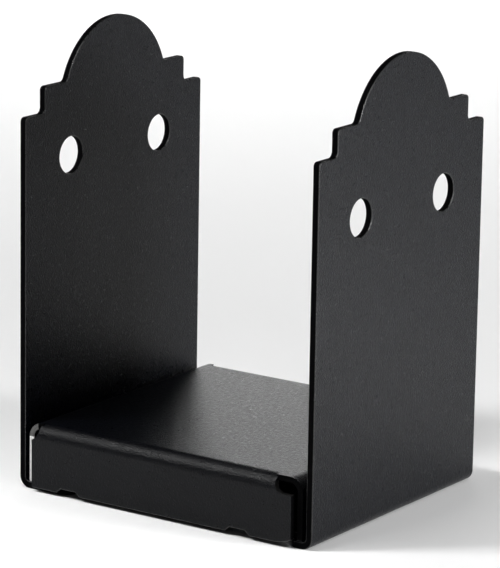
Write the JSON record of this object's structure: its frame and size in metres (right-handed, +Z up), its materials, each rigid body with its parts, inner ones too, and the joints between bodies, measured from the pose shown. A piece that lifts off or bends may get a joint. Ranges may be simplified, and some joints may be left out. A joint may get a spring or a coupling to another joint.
{
  "type": "post base",
  "caption": "U-shaped folded steel post base with stepped, domed uprights, screw holes for a timber post and a loose standoff plate over the anchor bolt hole",
  "frame": {"origin": "bottom centre of the base, on the ground", "axes": "+X from the left upright to the right upright, +Y to the back along the shortest extent, +Z up along the longest extent"},
  "size_m": [0.0944, 0.0828, 0.1235],
  "materials": {
    "strap_coat": "black satin powder coat with a fine texture",
    "standoff_coat": "black satin powder coat with a fine texture"
  },
  "bodies": {
    "root": {"u_strap": "strap_coat", "standoff": "standoff_coat"}
  },
  "joints": []
}
